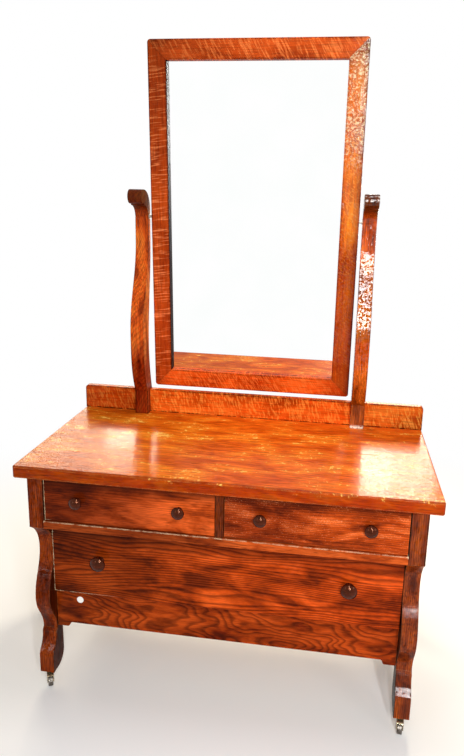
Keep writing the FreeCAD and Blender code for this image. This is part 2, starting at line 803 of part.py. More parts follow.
def backboard_screws(in_half, in_low, in_high):
    reach = backboard_lap - backboard_screw_edge
    half = in_half + reach
    low = in_low - reach
    high = in_high + reach
    start = mirror_back + backboard_thickness
    spots = [(side * half, low + (high - low) * share) for side in (-1, 1)
             for share in backboard_screw_heights]
    spots += [(x, z) for z in (low, high) for x in (-half / 2, half / 2)]
    return [wood_screw((x, start, z), (0, -1, 0), backboard_screw_radius, backboard_screw_length,
                       backboard_screw_head) for x, z in spots]


def tilt_forward(solid):
    # the mirror leans forward at its top, about the line through both pivots
    moved = solid.copy()
    moved.rotate(Vector(0, pivot_depth, pivot_height), Vector(1, 0, 0), mirror_tilt)
    return moved


# ---- build --------------------------------------------------------------------------------------------
def build():
    places = caster_places()
    sockets = [caster_hole(x, y) for x, y in places]
    panel = make_sides()
    make_front_legs(panel, sockets)
    make_rear_legs(panel, sockets)
    make_top()
    make_rails()
    make_divider()
    make_runners()
    make_apron()
    make_back()
    make_drawers()
    screws = post_screws()
    rods = pivot_rods()
    make_backsplash(screws)
    make_posts(screws, rods)
    keep("post_screws", Part.makeCompound(screws))
    keep("pivot_rods", Part.makeCompound([rods, other_side(rods)]))
    make_mirror(tilt_forward)
    make_casters()


def export():
    os.makedirs("parts", exist_ok=True)
    for name, shape in nodes.items():
        placed = shape.copy()
        placed.translate(Vector(0, -origin_depth, 0))
        placed.exportStep("parts/" + name + ".step")
        print(name, len(placed.Solids), round(placed.Volume, 1), placed.isValid())


build()
export()
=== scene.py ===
import math

import bmesh
import bpy
from mathutils import Matrix, Vector


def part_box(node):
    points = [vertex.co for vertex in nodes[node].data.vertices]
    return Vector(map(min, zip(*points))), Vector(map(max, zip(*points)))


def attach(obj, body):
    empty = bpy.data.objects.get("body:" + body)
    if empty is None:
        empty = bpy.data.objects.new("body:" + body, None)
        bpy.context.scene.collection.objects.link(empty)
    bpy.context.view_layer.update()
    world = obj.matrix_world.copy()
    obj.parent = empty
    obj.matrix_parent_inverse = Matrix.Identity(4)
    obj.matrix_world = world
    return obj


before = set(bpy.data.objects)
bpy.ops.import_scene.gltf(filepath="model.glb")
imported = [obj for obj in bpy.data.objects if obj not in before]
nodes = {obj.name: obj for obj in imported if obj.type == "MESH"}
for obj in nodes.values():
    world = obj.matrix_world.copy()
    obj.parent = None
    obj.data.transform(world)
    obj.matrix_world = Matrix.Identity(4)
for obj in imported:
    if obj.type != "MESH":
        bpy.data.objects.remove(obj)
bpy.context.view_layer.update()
print("frame loaded:", len(nodes), "nodes")

mm = 0.001
quarterTurn = math.pi / 2


def linear(hexColour):
    channels = [int(hexColour[i:i + 2], 16) / 255 for i in (1, 3, 5)]
    return [c / 12.92 if c <= 0.04045 else ((c + 0.055) / 1.055) ** 2.4 for c in channels] + [1.0]


# Adds one node with its settings, its inputs (values or links) and the stops of its ramp. A new ramp has
# two stops, so a list names its two ends first and what lies between them after.
def addNode(tree, kind, inputs=None, stops=None, **settings):
    node = tree.nodes.new(kind)
    for name, value in settings.items():
        setattr(node, name, value)
    for socket, value in (inputs or {}).items():
        if isinstance(value, bpy.types.NodeSocket):
            tree.links.new(value, node.inputs[socket])
        else:
            node.inputs[socket].default_value = value
    for number, (place, colour) in enumerate(stops or []):
        elements = node.color_ramp.elements
        stop = elements[number] if number < 2 else elements.new(place)
        stop.position = place
        stop.color = linear(colour)
    return node


def newMaterial(name):
    material = bpy.data.materials.new(name)
    material.use_nodes = True
    tree = material.node_tree
    return material, tree, tree.nodes["Principled BSDF"]


# Oak, sawn and planed, stained orange brown under an old gloss varnish.
# What the eye sees: clouds of darker and more golden stain, growth rings as darker lines, open pores as
# short dashes along the grain, rays across it where the board is quarter sawn, and pale wood where an
# edge has rubbed through. On some boards an arris also carries a painted pale highlight, on others a
# painted dark shade.
oak = dict(
    grain="x",                      # which way the fibres run
    shift=(0.0, 0.0, 0.0),          # where in the log the board was cut, m
    dark="#5c1f06", wood="#9a3a0a", light="#cc5a16",
    cloudSize=70.0, cloudStretch=3.0, cloudFrom=0.36, cloudTo=0.62,
    ringSpacing=8.0, ringDirection=(0.0, 0.25, 1.0), ringDark=0.45, ringLift=0.3,
    bend=5.0, bendSize=120.0, stretch=8.0,      # how far a knot-sized noise pushes the rings, in rings
    fibreWidth=3.4, fibreStretch=16.0, fibreDark=0.68, fibreLight=1.26,
    poreDark=0.5, poreWidth=2.6, poreLength=30.0,   # wider than real, so that they show
    ray=0.0, rayColour="#e8823c", rayAngle=0.6, raySize=(5.0, 24.0, 34.0), rayFrom=0.44, rayTo=0.62,
    tones=(),                       # each (axis, from mm, to mm, colours): the stain changes on the way
    toneWaver=0.15,                 # how far the clouds push that change about, as a share of its length
    speck=0.0, speckColour="#f6c070", speckSize=5.0, speckFrom=0.66, speckGather=0.0,
    speckFade=None,                 # (axis, full at mm, gone at mm)
    edge=0.5, edgeColour="#e0a060", edgeRadius=4.0, arrisPatchSize=14.0, mitred=False,
    edgeFade=None,                  # as speckFade
    rough=0.42, roughLess=0.07, roughMore=0.09, specular=0.02, bump=0.3, bumpDepth=0.3,
    coat=0.06, coatRough=0.12, craze=0.0, beadSize=3.5, beadFrom=0.45)

wholeRange = 3                      # a noise keeps to about the middle third of its range
spotRim = 0.06                      # how much a noise rises from the rim of a spot to where it is full

# turns an object's coordinates so that the grain runs along X
grainTurn = {"x": (0.0, 0.0, 0.0), "y": (0.0, 0.0, -quarterTurn), "z": (0.0, quarterTurn, 0.0)}


def perLength(width, drawnOut):     # noise scale for blobs this wide in mm, drawn out along the grain
    return [1 / (width * drawnOut * mm), 1 / (width * mm), 1 / (width * mm)]


def fadeAlong(tree, place, mask, fade):     # the mask, gone beyond a place on the board
    axis, full, gone = fade
    apart = addNode(tree, "ShaderNodeSeparateXYZ", {0: place}).outputs[axis]
    left = addNode(tree, "ShaderNodeMapRange", {
        "Value": apart, "From Min": gone * mm, "From Max": full * mm}).outputs[0]
    return addNode(tree, "ShaderNodeMath", {0: mask, 1: left}, operation="MULTIPLY").outputs[0]


def makeOak(name, **changes):
    board = dict(oak, **changes)
    material, tree, shader = newMaterial(name)
    place = addNode(tree, "ShaderNodeTexCoord").outputs["Object"]
    turned = addNode(tree, "ShaderNodeMapping", {
        "Vector": place, "Rotation": grainTurn[board["grain"]], "Location": board["shift"]}).outputs[0]

    cloudPlaces = addNode(tree, "ShaderNodeVectorMath", {
        0: turned, 1: perLength(board["cloudSize"], board["cloudStretch"])},
        operation="MULTIPLY").outputs[0]
    cloud = addNode(tree, "ShaderNodeTexNoise", {
        "Vector": cloudPlaces, "Scale": 1.0, "Detail": 5.0, "Roughness": 0.58,
        "Distortion": 0.4}).outputs[0]
    cloudPlace = addNode(tree, "ShaderNodeMapRange", {
        "Value": cloud, "From Min": board["cloudFrom"], "From Max": board["cloudTo"]}).outputs[0]
    colour = addNode(tree, "ShaderNodeValToRGB", {"Fac": cloudPlace}, stops=[
        (0.0, board["dark"]), (1.0, board["light"]), (0.5, board["wood"])]).outputs[0]
    # growth rings: even lines across the board, bent by a slow noise into arches
    bendPlaces = addNode(tree, "ShaderNodeVectorMath", {
        0: turned, 1: perLength(board["bendSize"], board["stretch"])}, operation="MULTIPLY").outputs[0]
    bend = addNode(tree, "ShaderNodeTexNoise", {
        "Vector": bendPlaces, "Scale": 1.0, "Detail": 2.0, "Roughness": 0.4}).outputs[0]
    across = addNode(tree, "ShaderNodeVectorMath", {
        0: turned, 1: [d / (board["ringSpacing"] * mm) for d in board["ringDirection"]]},
        operation="DOT_PRODUCT").outputs["Value"]
    bent = addNode(tree, "ShaderNodeMath", {0: bend, 1: board["bend"] * wholeRange, 2: across},
                   operation="MULTIPLY_ADD").outputs[0]
    ring = addNode(tree, "ShaderNodeMath", {0: bent}, operation="FRACT").outputs[0]
    ringLine = addNode(tree, "ShaderNodeValToRGB", {"Fac": ring}, stops=[
        (0.0, "#000000"), (1.0, "#000000"), (0.35, "#202020"), (0.75, "#ffffff"),
        (0.9, "#e0e0e0")]).outputs[0]
    ringShade = addNode(tree, "ShaderNodeMapRange", {
        "Value": ringLine, "To Min": 1.0 + board["ringDark"] * board["ringLift"],
        "To Max": 1.0 - board["ringDark"]}).outputs[0]
    # fibres: fine streaks that take off the evenness of the stain
    fibrePlaces = addNode(tree, "ShaderNodeVectorMath", {
        0: turned, 1: perLength(board["fibreWidth"], board["fibreStretch"])},
        operation="MULTIPLY").outputs[0]
    fibre = addNode(tree, "ShaderNodeTexNoise", {
        "Vector": fibrePlaces, "Scale": 1.0, "Detail": 3.0, "Roughness": 0.62}).outputs[0]
    fibreShade = addNode(tree, "ShaderNodeMapRange", {
        "Value": fibre, "From Min": 0.34, "From Max": 0.66, "To Min": board["fibreDark"],
        "To Max": board["fibreLight"]}).outputs[0]
    # pores: short dark dashes
    porePlaces = addNode(tree, "ShaderNodeVectorMath", {
        0: turned, 1: perLength(board["poreWidth"], board["poreLength"] / board["poreWidth"])},
        operation="MULTIPLY").outputs[0]
    pore = addNode(tree, "ShaderNodeTexNoise", {
        "Vector": porePlaces, "Scale": 1.0, "Detail": 1.0}).outputs[0]
    poreMask = addNode(tree, "ShaderNodeMapRange", {
        "Value": pore, "From Min": 0.56, "From Max": 0.66}).outputs[0]
    poreShade = addNode(tree, "ShaderNodeMapRange", {
        "Value": poreMask, "To Min": 1.0, "To Max": 1.0 - board["poreDark"]}).outputs[0]
    shade = ringShade
    for factor in (fibreShade, poreShade):
        shade = addNode(tree, "ShaderNodeMath", {0: shade, 1: factor}, operation="MULTIPLY").outputs[0]
    if board["ray"] > 0:            # rays of quarter-sawn oak, lighter than the wood round them
        rayTurn = addNode(tree, "ShaderNodeMapping", {
            "Vector": turned, "Rotation": (0.0, board["rayAngle"], 0.0)}).outputs[0]
        rayPlaces = addNode(tree, "ShaderNodeVectorMath", {
            0: rayTurn, 1: [1 / (length * mm) for length in board["raySize"]]},
            operation="MULTIPLY").outputs[0]
        ray = addNode(tree, "ShaderNodeTexNoise", {
            "Vector": rayPlaces, "Scale": 1.0, "Detail": 2.0, "Roughness": 0.5,
            "Distortion": 0.25}).outputs[0]
        rayMask = addNode(tree, "ShaderNodeMapRange", {
            "Value": ray, "From Min": board["rayFrom"], "From Max": board["rayTo"],
            "To Max": board["ray"]}).outputs[0]
        colour = addNode(tree, "ShaderNodeMix", {
            "Factor": rayMask, 6: colour, 7: linear(board["rayColour"])}, data_type="RGBA").outputs[2]
    colour = addNode(tree, "ShaderNodeVectorMath", {0: colour, "Scale": shade},
                     operation="SCALE").outputs[0]
    for axis, start, end, stops in board["tones"]:
        waver = board["toneWaver"] * abs(end - start)
        apart = addNode(tree, "ShaderNodeSeparateXYZ", {0: place}).outputs[axis]
        loose = addNode(tree, "ShaderNodeMath", {0: cloud, 1: waver * mm, 2: apart},
                        operation="MULTIPLY_ADD").outputs[0]
        along = addNode(tree, "ShaderNodeMapRange", {
            "Value": loose, "From Min": (start + waver / 2) * mm,
            "From Max": (end + waver / 2) * mm}).outputs[0]
        toneColour = addNode(tree, "ShaderNodeValToRGB", {"Fac": along}, stops=stops).outputs[0]
        colour = addNode(tree, "ShaderNodeMix", {"Factor": 1.0, 6: colour, 7: toneColour},
                         data_type="RGBA", blend_type="MULTIPLY").outputs[2]
    if board["speck"] > 0:          # pale specks: nicks and rubbed spots through the varnish, and on some boards painted glints
        speck = addNode(tree, "ShaderNodeTexNoise", {
            "Vector": place, "Scale": 1 / (board["speckSize"] * mm), "Detail": 4.0,
            "Roughness": 0.75}).outputs[0]
        gathered = addNode(tree, "ShaderNodeMath", {0: cloud, 1: board["speckGather"], 2: speck},
                           operation="MULTIPLY_ADD").outputs[0]
        start = board["speckFrom"] + board["speckGather"] / 2
        speckMask = addNode(tree, "ShaderNodeMapRange", {
            "Value": gathered, "From Min": start, "From Max": start + spotRim,
            "To Max": board["speck"]}).outputs[0]
        if board["speckFade"]:
            speckMask = fadeAlong(tree, place, speckMask, board["speckFade"])
        colour = addNode(tree, "ShaderNodeMix", {
            "Factor": speckMask, 6: colour, 7: linear(board["speckColour"])}, data_type="RGBA").outputs[2]
    if board["edge"] > 0:           # arrises: pale where rubbed; on some boards a painted pale highlight, on others a painted dark shade
        rounded = addNode(tree, "ShaderNodeBevel", {"Radius": board["edgeRadius"] * mm},
                          samples=8).outputs[0]
        flat = addNode(tree, "ShaderNodeNewGeometry").outputs["True Normal"]
        turn = addNode(tree, "ShaderNodeVectorMath", {0: rounded, 1: flat},
                       operation="DOT_PRODUCT").outputs["Value"]
        arris = addNode(tree, "ShaderNodeMapRange", {
            "Value": turn, "From Min": 0.99, "From Max": 0.94}).outputs[0]
        arrisPatch = addNode(tree, "ShaderNodeTexNoise", {
            "Vector": place, "Scale": 1 / (board["arrisPatchSize"] * mm), "Detail": 3.0,
            "Roughness": 0.6}).outputs[0]
        arrisPatchMask = addNode(tree, "ShaderNodeMapRange", {
            "Value": arrisPatch, "From Min": 0.34, "From Max": 0.56, "To Max": board["edge"]}).outputs[0]
        arrisWearAndPaintedLight = addNode(tree, "ShaderNodeMath", {0: arris, 1: arrisPatchMask}, operation="MULTIPLY").outputs[0]
        if board["mitred"]:         # the painted dark shade lies along the board's sides; a glued mitre keeps little of it
            lean = addNode(tree, "ShaderNodeVectorMath", {0: rounded, 1: flat},
                           operation="SUBTRACT").outputs[0]
            ownLean = addNode(tree, "ShaderNodeVectorTransform", {0: lean}, vector_type="VECTOR",
                              convert_from="WORLD", convert_to="OBJECT").outputs[0]
            endways = addNode(tree, "ShaderNodeSeparateXYZ", {0: ownLean}).outputs[board["grain"].upper()]
            towardsEnd = addNode(tree, "ShaderNodeMath", {0: endways}, operation="ABSOLUTE").outputs[0]
            alongside = addNode(tree, "ShaderNodeMapRange", {
                "Value": towardsEnd, "From Min": 0.04, "From Max": 0.09, "To Min": 1.0,
                "To Max": 0.2}).outputs[0]
            arrisWearAndPaintedLight = addNode(tree, "ShaderNodeMath", {0: arrisWearAndPaintedLight, 1: alongside},
                           operation="MULTIPLY").outputs[0]
        if board["edgeFade"]:
            arrisWearAndPaintedLight = fadeAlong(tree, place, arrisWearAndPaintedLight, board["edgeFade"])
        colour = addNode(tree, "ShaderNodeMix", {
            "Factor": arrisWearAndPaintedLight, 6: colour, 7: linear(board["edgeColour"])}, data_type="RGBA").outputs[2]
    dull = addNode(tree, "ShaderNodeMapRange", {
        "Value": fibre, "From Min": 0.3, "From Max": 0.7, "To Min": board["rough"] - board["roughLess"],
        "To Max": board["rough"] + board["roughMore"]}).outputs[0]
    relief = addNode(tree, "ShaderNodeMath", {0: fibre, 1: poreMask}, operation="SUBTRACT").outputs[0]
    if board["craze"] > 0:          # varnish drawn into small beads, which break a reflection into sparkle
        bead = addNode(tree, "ShaderNodeTexNoise", {
            "Vector": place, "Scale": 1 / (board["beadSize"] * mm), "Detail": 1.0,
            "Roughness": 0.6}).outputs[0]
        relief = addNode(tree, "ShaderNodeMath", {0: bead, 1: board["craze"], 2: relief},
                         operation="MULTIPLY_ADD").outputs[0]
        beadCoat = addNode(tree, "ShaderNodeMapRange", {
            "Value": bead, "From Min": board["beadFrom"], "From Max": board["beadFrom"] + spotRim,
            "To Max": board["coat"]}).outputs[0]
        tree.links.new(beadCoat, shader.inputs["Coat Weight"])
    normal = addNode(tree, "ShaderNodeBump", {
        "Height": relief, "Strength": board["bump"], "Distance": board["bumpDepth"] * mm}).outputs[0]
    tree.links.new(colour, shader.inputs["Base Color"])
    tree.links.new(dull, shader.inputs["Roughness"])
    tree.links.new(normal, shader.inputs["Normal"])
    tree.links.new(normal, shader.inputs["Coat Normal"])
    shader.inputs["Specular IOR Level"].default_value = board["specular"]
    shader.inputs["Coat Weight"].default_value = board["coat"]
    shader.inputs["Coat Roughness"].default_value = board["coatRough"]
    return material


def dress(material, *names):
    for name in names:
        for slot in nodes[name].material_slots:
            slot.material = material


# Boards, each cut from its own place in the log. A quarter-sawn one shows rays and hardly any rings. On the
# sparkling ones the varnish has drawn into beads. A dark arris is painted shade along the edge; a pale one
# is partly rubbed bare and partly a painted highlight.
quartered = dict(ringDark=0.1, fibreWidth=4.4, fibreDark=0.8, fibreLight=1.14, poreDark=0.18)
darkArrisShade = dict(edge=1.0, edgeColour="#1c0601", edgeRadius=9.0)
sparkling = dict(coat=0.8, coatRough=0.04, craze=0.8, beadSize=7.0)
paleArrisWearAndHighlight = dict(edgeRadius=4.5, edgeColour="#ffe4b8")
flame = dict(fibreDark=0.8, fibreLight=1.14, poreDark=0.3)

# Top: golden and glossy, painted darker on its front edge as shade, its arrises rubbed, and pale golden
# specks that are partly nicks in the varnish and partly painted glints.
topBoard = makeOak(
    "oak_top_gloss_varnish", shift=(0.3, 0.1, 0.0), dark="#d4500a", wood="#f06812", light="#ff8420",
    cloudSize=34.0, ringSpacing=14.0, ringDirection=(0.0, 1.0, 0.5), ringDark=0.16, fibreWidth=4.0,
    fibreDark=0.76, fibreLight=1.14, poreDark=0.3, rough=0.3, coat=0.16, coatRough=0.09, craze=0.25,
    beadSize=5.0, edge=1.0, edgeColour="#f0b868", edgeRadius=6.0, speck=0.85, speckSize=12.0,
    # pale golden specks: partly nicks in the varnish, partly painted glints
    speckFrom=0.64, speckGather=0.7, speckColour="#f8c860", speckFade=("Z", 661, 650),
    # front edge painted darker: painted shade
    tones=[("Y", -268.5, -260, [(0.0, "#b8946c"), (1.0, "#ffffff"), (0.6, "#b8946c")]),
           ("X", -534, 534, [(0.0, "#d8e8d0"), (1.0, "#f4ece8"), (0.36, "#f0fcec"), (0.5, "#ffffff")])])
backsplashBoard = makeOak(
    "oak_backsplash_quarter_sawn", shift=(0.9, 0.0, 0.4), dark="#a83c06", wood="#e25810", light="#fc7c28",
    ray=0.6, rayColour="#ffa040", rayAngle=0.25, raySize=(4.0, 30.0, 18.0), rayFrom=0.48, rayTo=0.62,
    tones=[("X", -534, 534, [(0.0, "#d4c4c0"), (1.0, "#f0ffff"), (0.15, "#d4c4c0"), (0.2, "#ffffff"),
                             (0.82, "#fff0e8"), (0.86, "#f0ffff")])],
    **quartered, **darkArrisShade)

# Standards: dark at their rolled tops; the left one painted lighter on its inner side face, a painted
# light; the right one has pale specks at its foot, a painted highlight, and beads all the way up.
standard = dict(
    grain="z", cloudSize=30.0, cloudStretch=4.0, ringSpacing=7.0, ringDark=0.22, edge=1.0,
    edgeColour="#2c0e03", edgeRadius=5.0)
leftStandardWood = makeOak(
    "oak_left_standard_sawn", shift=(0.5, 0.3, 0.2), dark="#a45a1c", wood="#f09440", light="#ffc468",
    ringDirection=(0.4, 0.2, 1.0), coat=0.1, tones=[
        ("Z", 664, 1360, [(0.0, "#a9808c"), (1.0, "#706860"), (0.24, "#ac8088"), (0.36, "#fff4f0"),
                          (0.86, "#fff0e8"), (0.92, "#786c64")]),
        # the inner side face left lighter than the front: painted light
        ("X", -321, -316.5, [(0.0, "#db9a6a"), (1.0, "#ffffff"), (0.7, "#db9a6a")])], **standard)
rightStandardWood = makeOak(
    "oak_right_standard_sawn", shift=(0.2, 0.6, 0.4), dark="#94400e", wood="#cc6018", light="#f0842c",
    # pale specks at the foot: a painted highlight
    speck=0.95, speckSize=6.0, speckFrom=0.4, speckColour="#fff6e0", speckFade=("Z", 668, 676), tones=[
        ("Z", 664, 1360, [(0.0, "#f0f0f0"), (1.0, "#706860"), (0.1, "#c8c8b0"), (0.385, "#ffd8c8"),
                          (0.41, "#e0e0b4"), (0.7, "#e0e0b4"), (0.75, "#ffd8c8"),
                          (0.88, "#ffd8c8"), (0.93, "#786c64")])], **standard, **sparkling)

# Mirror frame: the left stile is painted nearly black on its edge towards the glass, a painted shade; the
# right one is specked pale, painted glints of glare, and painted darker towards its outer edge and its top
# corner, a painted shadow.
frameLeft = makeOak(
    "oak_mirror_stile_left_quarter_sawn", grain="z", shift=(0.1, 0.2, 0.7), dark="#802406",
    wood="#ac3e0e", light="#c24c14", ray=0.7, rayColour="#f88c50", rayAngle=0.12,
    raySize=(4.4, 42.0, 60.0), rayFrom=0.54, rayTo=0.66, coat=0.04,
    tones=[("Z", 748, 1760, [(0.0, "#ffffff"), (1.0, "#c0b8b0"), (0.6, "#ffffff")]),
           # edge towards the glass painted nearly black: painted shade
           ("X", -262, -252, [(0.0, "#ffffff"), (1.0, "#302010"), (0.6, "#ffffff"), (0.8, "#302010")])],
    mitred=True, **quartered, **darkArrisShade)
frameTop = makeOak(
    "oak_mirror_rail_top_quarter_sawn", shift=(0.6, 0.1, 0.1), dark="#842806", wood="#b4420e",
    light="#d4541a", ray=0.6, rayColour="#fc8844", rayAngle=0.5, raySize=(4.0, 26.0, 34.0),
    rayFrom=0.48, rayTo=0.64, coat=0.05,
    tones=[("X", -305, 305, [(0.0, "#b4b0ac"), (1.0, "#fffff0"), (0.3, "#ece8e4"), (0.6, "#ffffff")])],
    mitred=True, **quartered, **darkArrisShade)
frameRight = makeOak(
    "oak_mirror_stile_right_quarter_sawn", grain="z", shift=(0.3, 0.4, 0.5), dark="#b04808",
    wood="#dc6a10", light="#f88a20", ray=0.7, rayColour="#ffa840", rayAngle=-0.6,
    # pale specks on the upper part: painted glints of glare
    raySize=(4.0, 11.0, 9.0), rayFrom=0.5, rayTo=0.64, speck=0.6, speckSize=6.0, speckFrom=0.52,
    speckColour="#fff0c0", speckFade=("Z", 1500, 1400),
    # painted darker into the top corner: painted shade
    tones=[("Z", 748, 1760, [(0.0, "#b89080"), (1.0, "#8c6454"), (0.42, "#c8a898"), (0.56, "#ffffff"),
                             (0.9, "#f0e8e0")]),
           # painted darker towards the outer edge: the painted shadow of the standard beside it
           ("X", 253, 308, [(0.0, "#ffe0d0"), (1.0, "#b08878"), (0.6, "#ffffff")])],
    mitred=True, **quartered, **darkArrisShade, **dict(sparkling, coat=0.5, craze=0.35))
frameBottom = makeOak(
    "oak_mirror_rail_bottom_quarter_sawn", shift=(0.2, 0.5, 0.9), dark="#b03406", wood="#e6520e",
    light="#ff6a22", ray=0.6, rayColour="#ff8438", rayAngle=0.5, raySize=(3.5, 24.0, 22.0),
    rayFrom=0.46, rayTo=0.62, coat=0.05,
    tones=[("X", -305, 305, [(0.0, "#c8c0c0"), (1.0, "#b8a898"), (0.12, "#ffffff"), (0.82, "#ffffff")])],
    mitred=True, **quartered, **darkArrisShade)

# Legs and drawer divider: brown, the divider darker; the inner faces beside the drawers painted dark, a
# painted shade.
leg = dict(
    grain="z", dark="#541c06", wood="#7e300a", light="#9c4410", cloudSize=26.0, cloudStretch=9.0,
    ringSpacing=5.0, ringDark=0.3, bend=1.2, fibreWidth=2.4, fibreDark=0.62, fibreLight=1.32,
    coatRough=0.08, bump=0.12, craze=0.15, beadSize=8.0, edge=0.2, edgeRadius=3.0,
    tones=[("X", -503, 503, [(0.0, "#eadcd0"), (1.0, "#ffffff"), (0.3, "#b0a4a4"), (0.7, "#b0a4a4")]),
           # inner faces beside the drawers painted dark: painted shade
           ("X", 460, 463, [(0.0, "#ffffff"), (1.0, "#ffffff"), (0.3, "#302828"), (0.7, "#302828")]),
           ("X", -463, -460, [(0.0, "#ffffff"), (1.0, "#ffffff"), (0.3, "#988c84"), (0.7, "#988c84")])])
legWood = makeOak("oak_left_leg_brown_stain", shift=(0.7, 0.6, 0.3), coat=0.2, **leg)
rightLegWood = makeOak("oak_right_leg_brown_stain", shift=(0.2, 0.9, 0.6), coat=0.3, beadFrom=0.36, **leg)

# Middle rail: a pale line along its top arris, partly rubbed wood and partly a painted highlight.
railWood = makeOak(
    "oak_rail_brown_stain", shift=(0.4, 0.2, 0.6), dark="#983810", wood="#b84a16", light="#cc5820",
    cloudSize=24.0, ringDark=0.15, fibreDark=0.84, fibreLight=1.1, edge=1.0,
    # pale top arris: partly rubbed, partly a painted highlight
    edgeFade=("Z", 510, 505), **paleArrisWearAndHighlight,
    tones=[("X", -460, 460, [(0.0, "#b8b8b8"), (1.0, "#ffffff"), (0.4, "#bcbcbc"), (0.6, "#ffffff")])])

# Sides: plain brown boards.
brownStain = dict(dark="#5e2207", wood="#87390f", light="#a84c1a")
sideWood = makeOak(
    "oak_sides_brown_stain", grain="z", shift=(0.1, 0.9, 0.4), ringSpacing=14.0,
    ringDirection=(0.0, 1.0, 0.1), edge=0.2, **brownStain)
sideRailWood = makeOak(
    "oak_side_rails_brown_stain", grain="y", shift=(0.8, 0.3, 0.2), edge=0.3, **brownStain)

# Drawer fronts: painted darker towards their top edges, a painted shadow of what lies above them, and a
# pale left arris on two of them, partly rubbed and partly a painted highlight.
leftDrawerWood = makeOak(
    "oak_left_drawer_front", shift=(0.2, 0.7, 0.1), dark="#74280a", wood="#b04410", light="#e06226",
    # pale left arris: partly rubbed, partly a painted highlight
    cloudSize=40.0, ringSpacing=6.0, ringDark=0.3, edge=1.0, edgeFade=("X", -460, -440), **paleArrisWearAndHighlight,
    tones=[("X", -460, -12, [(0.0, "#988c8c"), (1.0, "#fffafa"), (0.5, "#bcb0b0"), (0.75, "#fff8f8")]),
           # painted darker towards the top edge: painted shadow of the top above
           ("Z", 513, 629, [(0.0, "#ffffff"), (1.0, "#404040"), (0.7, "#ffffff"), (0.93, "#a4a4a4")])],
    **flame)
rightDrawerWood = makeOak(
    "oak_right_drawer_front", shift=(0.6, 0.8, 0.5), dark="#742809", wood="#b64610", light="#e46a2a",
    cloudSize=40.0, ringSpacing=6.0, ringDark=0.34, speck=0.5, speckSize=3.0, speckFrom=0.6,
    speckGather=0.4, speckColour="#f4a070", edge=0.15,
    tones=[("X", 12, 460, [(0.0, "#ccbcc0"), (1.0, "#fff4f8"), (0.35, "#d0c0c4"), (0.6, "#fff8f8")]),
           # painted darker towards the top edge: painted shadow of the top above
           ("Z", 513, 629, [(0.0, "#ffffff"), (1.0, "#404040"), (0.75, "#ffffff"), (0.93, "#a4a4a4")])],
    **flame)
longDrawerWood = makeOak(
    "oak_long_drawer_front_flame", shift=(0.9, 0.1, 0.3), dark="#742806", wood="#b0420c", light="#d4581a",
    cloudSize=50.0, cloudStretch=2.6, ringSpacing=9.0, ringDark=0.55, bend=4.0, bendSize=90.0,
    # pale arrises on the left part: partly rubbed, partly a painted highlight
    stretch=5.0, edge=1.0, edgeFade=("X", -460, -260), **paleArrisWearAndHighlight,
    tones=[("X", -460, 460, [(0.0, "#b0aca4"), (1.0, "#ffe8e8"), (0.22, "#bcb8b0"), (0.5, "#fff4f4")]),
           # painted darker towards the top edge: painted shadow of the rail above
           ("Z", 283, 487, [(0.0, "#ffffff"), (1.0, "#808080"), (0.7, "#ffffff"), (0.85, "#b8b8b8")])],
    **flame)

# Apron: wide flat-sawn figure in arches.
apronWood = makeOak(
    "oak_apron_flame", shift=(0.3, 0.3, 0.8), dark="#702406", wood="#a2400c", light="#c85618",
    cloudSize=40.0, ringSpacing=20.0, ringDirection=(0.3, 1.0, 0.5), ringDark=0.5, bend=4.0, bendSize=70.0,
    stretch=2.5, edge=0.1,
    tones=[("X", -461, 461, [(0.0, "#c0b8b4"), (1.0, "#e4cccc"), (0.3, "#dccccc")])], **flame)

# Inside and behind: bare wood, unstained and matt.
bare = dict(coat=0.0, specular=0.3, edge=0.0, poreDark=0.12, fibreDark=0.85, fibreLight=1.1, ringDark=0.15)
insideWood = makeOak(
    "poplar_planed_bare", shift=(0.5, 0.5, 0.5), dark="#9a6c3c", wood="#b98a54", light="#cda06a",
    rough=0.62, **bare)
boxWood = makeOak(
    "maple_planed_bare", grain="y", shift=(0.2, 0.5, 0.8), dark="#a27444", wood="#c09460", light="#d2aa78",
    rough=0.6, **bare)
backWood = makeOak(
    "thin_board_bare", shift=(0.1, 0.1, 0.6), dark="#62401f", wood="#7d5430", light="#92683e",
    ringSpacing=22.0, rough=0.7, **bare)
print("wood made")

dress(topBoard, "top_board")
dress(backsplashBoard, "backsplash")
dress(leftStandardWood, "mirror_post_left")
dress(rightStandardWood, "mirror_post_right")
dress(frameLeft, "mirror_stile_left")
dress(frameTop, "mirror_rail_top")
dress(frameRight, "mirror_stile_right")
dress(frameBottom, "mirror_rail_bottom")
dress(legWood, "front_leg_left", "rear_leg_left", "rear_leg_right", "drawer_divider")
dress(rightLegWood, "front_leg_right")
dress(railWood, "middle_rail")
dress(sideWood, "side_panel_left", "side_panel_right")
dress(sideRailWood, "side_top_rail_left", "side_top_rail_right", "side_bottom_rail_left",
      "side_bottom_rail_right")
dress(leftDrawerWood, "left_drawer_front")
dress(rightDrawerWood, "right_drawer_front")
dress(longDrawerWood, "long_drawer_front")
dress(apronWood, "apron")
dress(insideWood, "top_front_rail", "bottom_front_rail", "rear_rails", "left_drawer_back",
      "right_drawer_back", "long_drawer_back")
dress(boxWood, "small_drawer_runners", "long_drawer_runners", "left_drawer_sides", "right_drawer_sides",
      "long_drawer_sides", "left_drawer_bottom", "right_drawer_bottom", "long_drawer_bottom")
dress(backWood, "back_panel", "mirror_backboard")

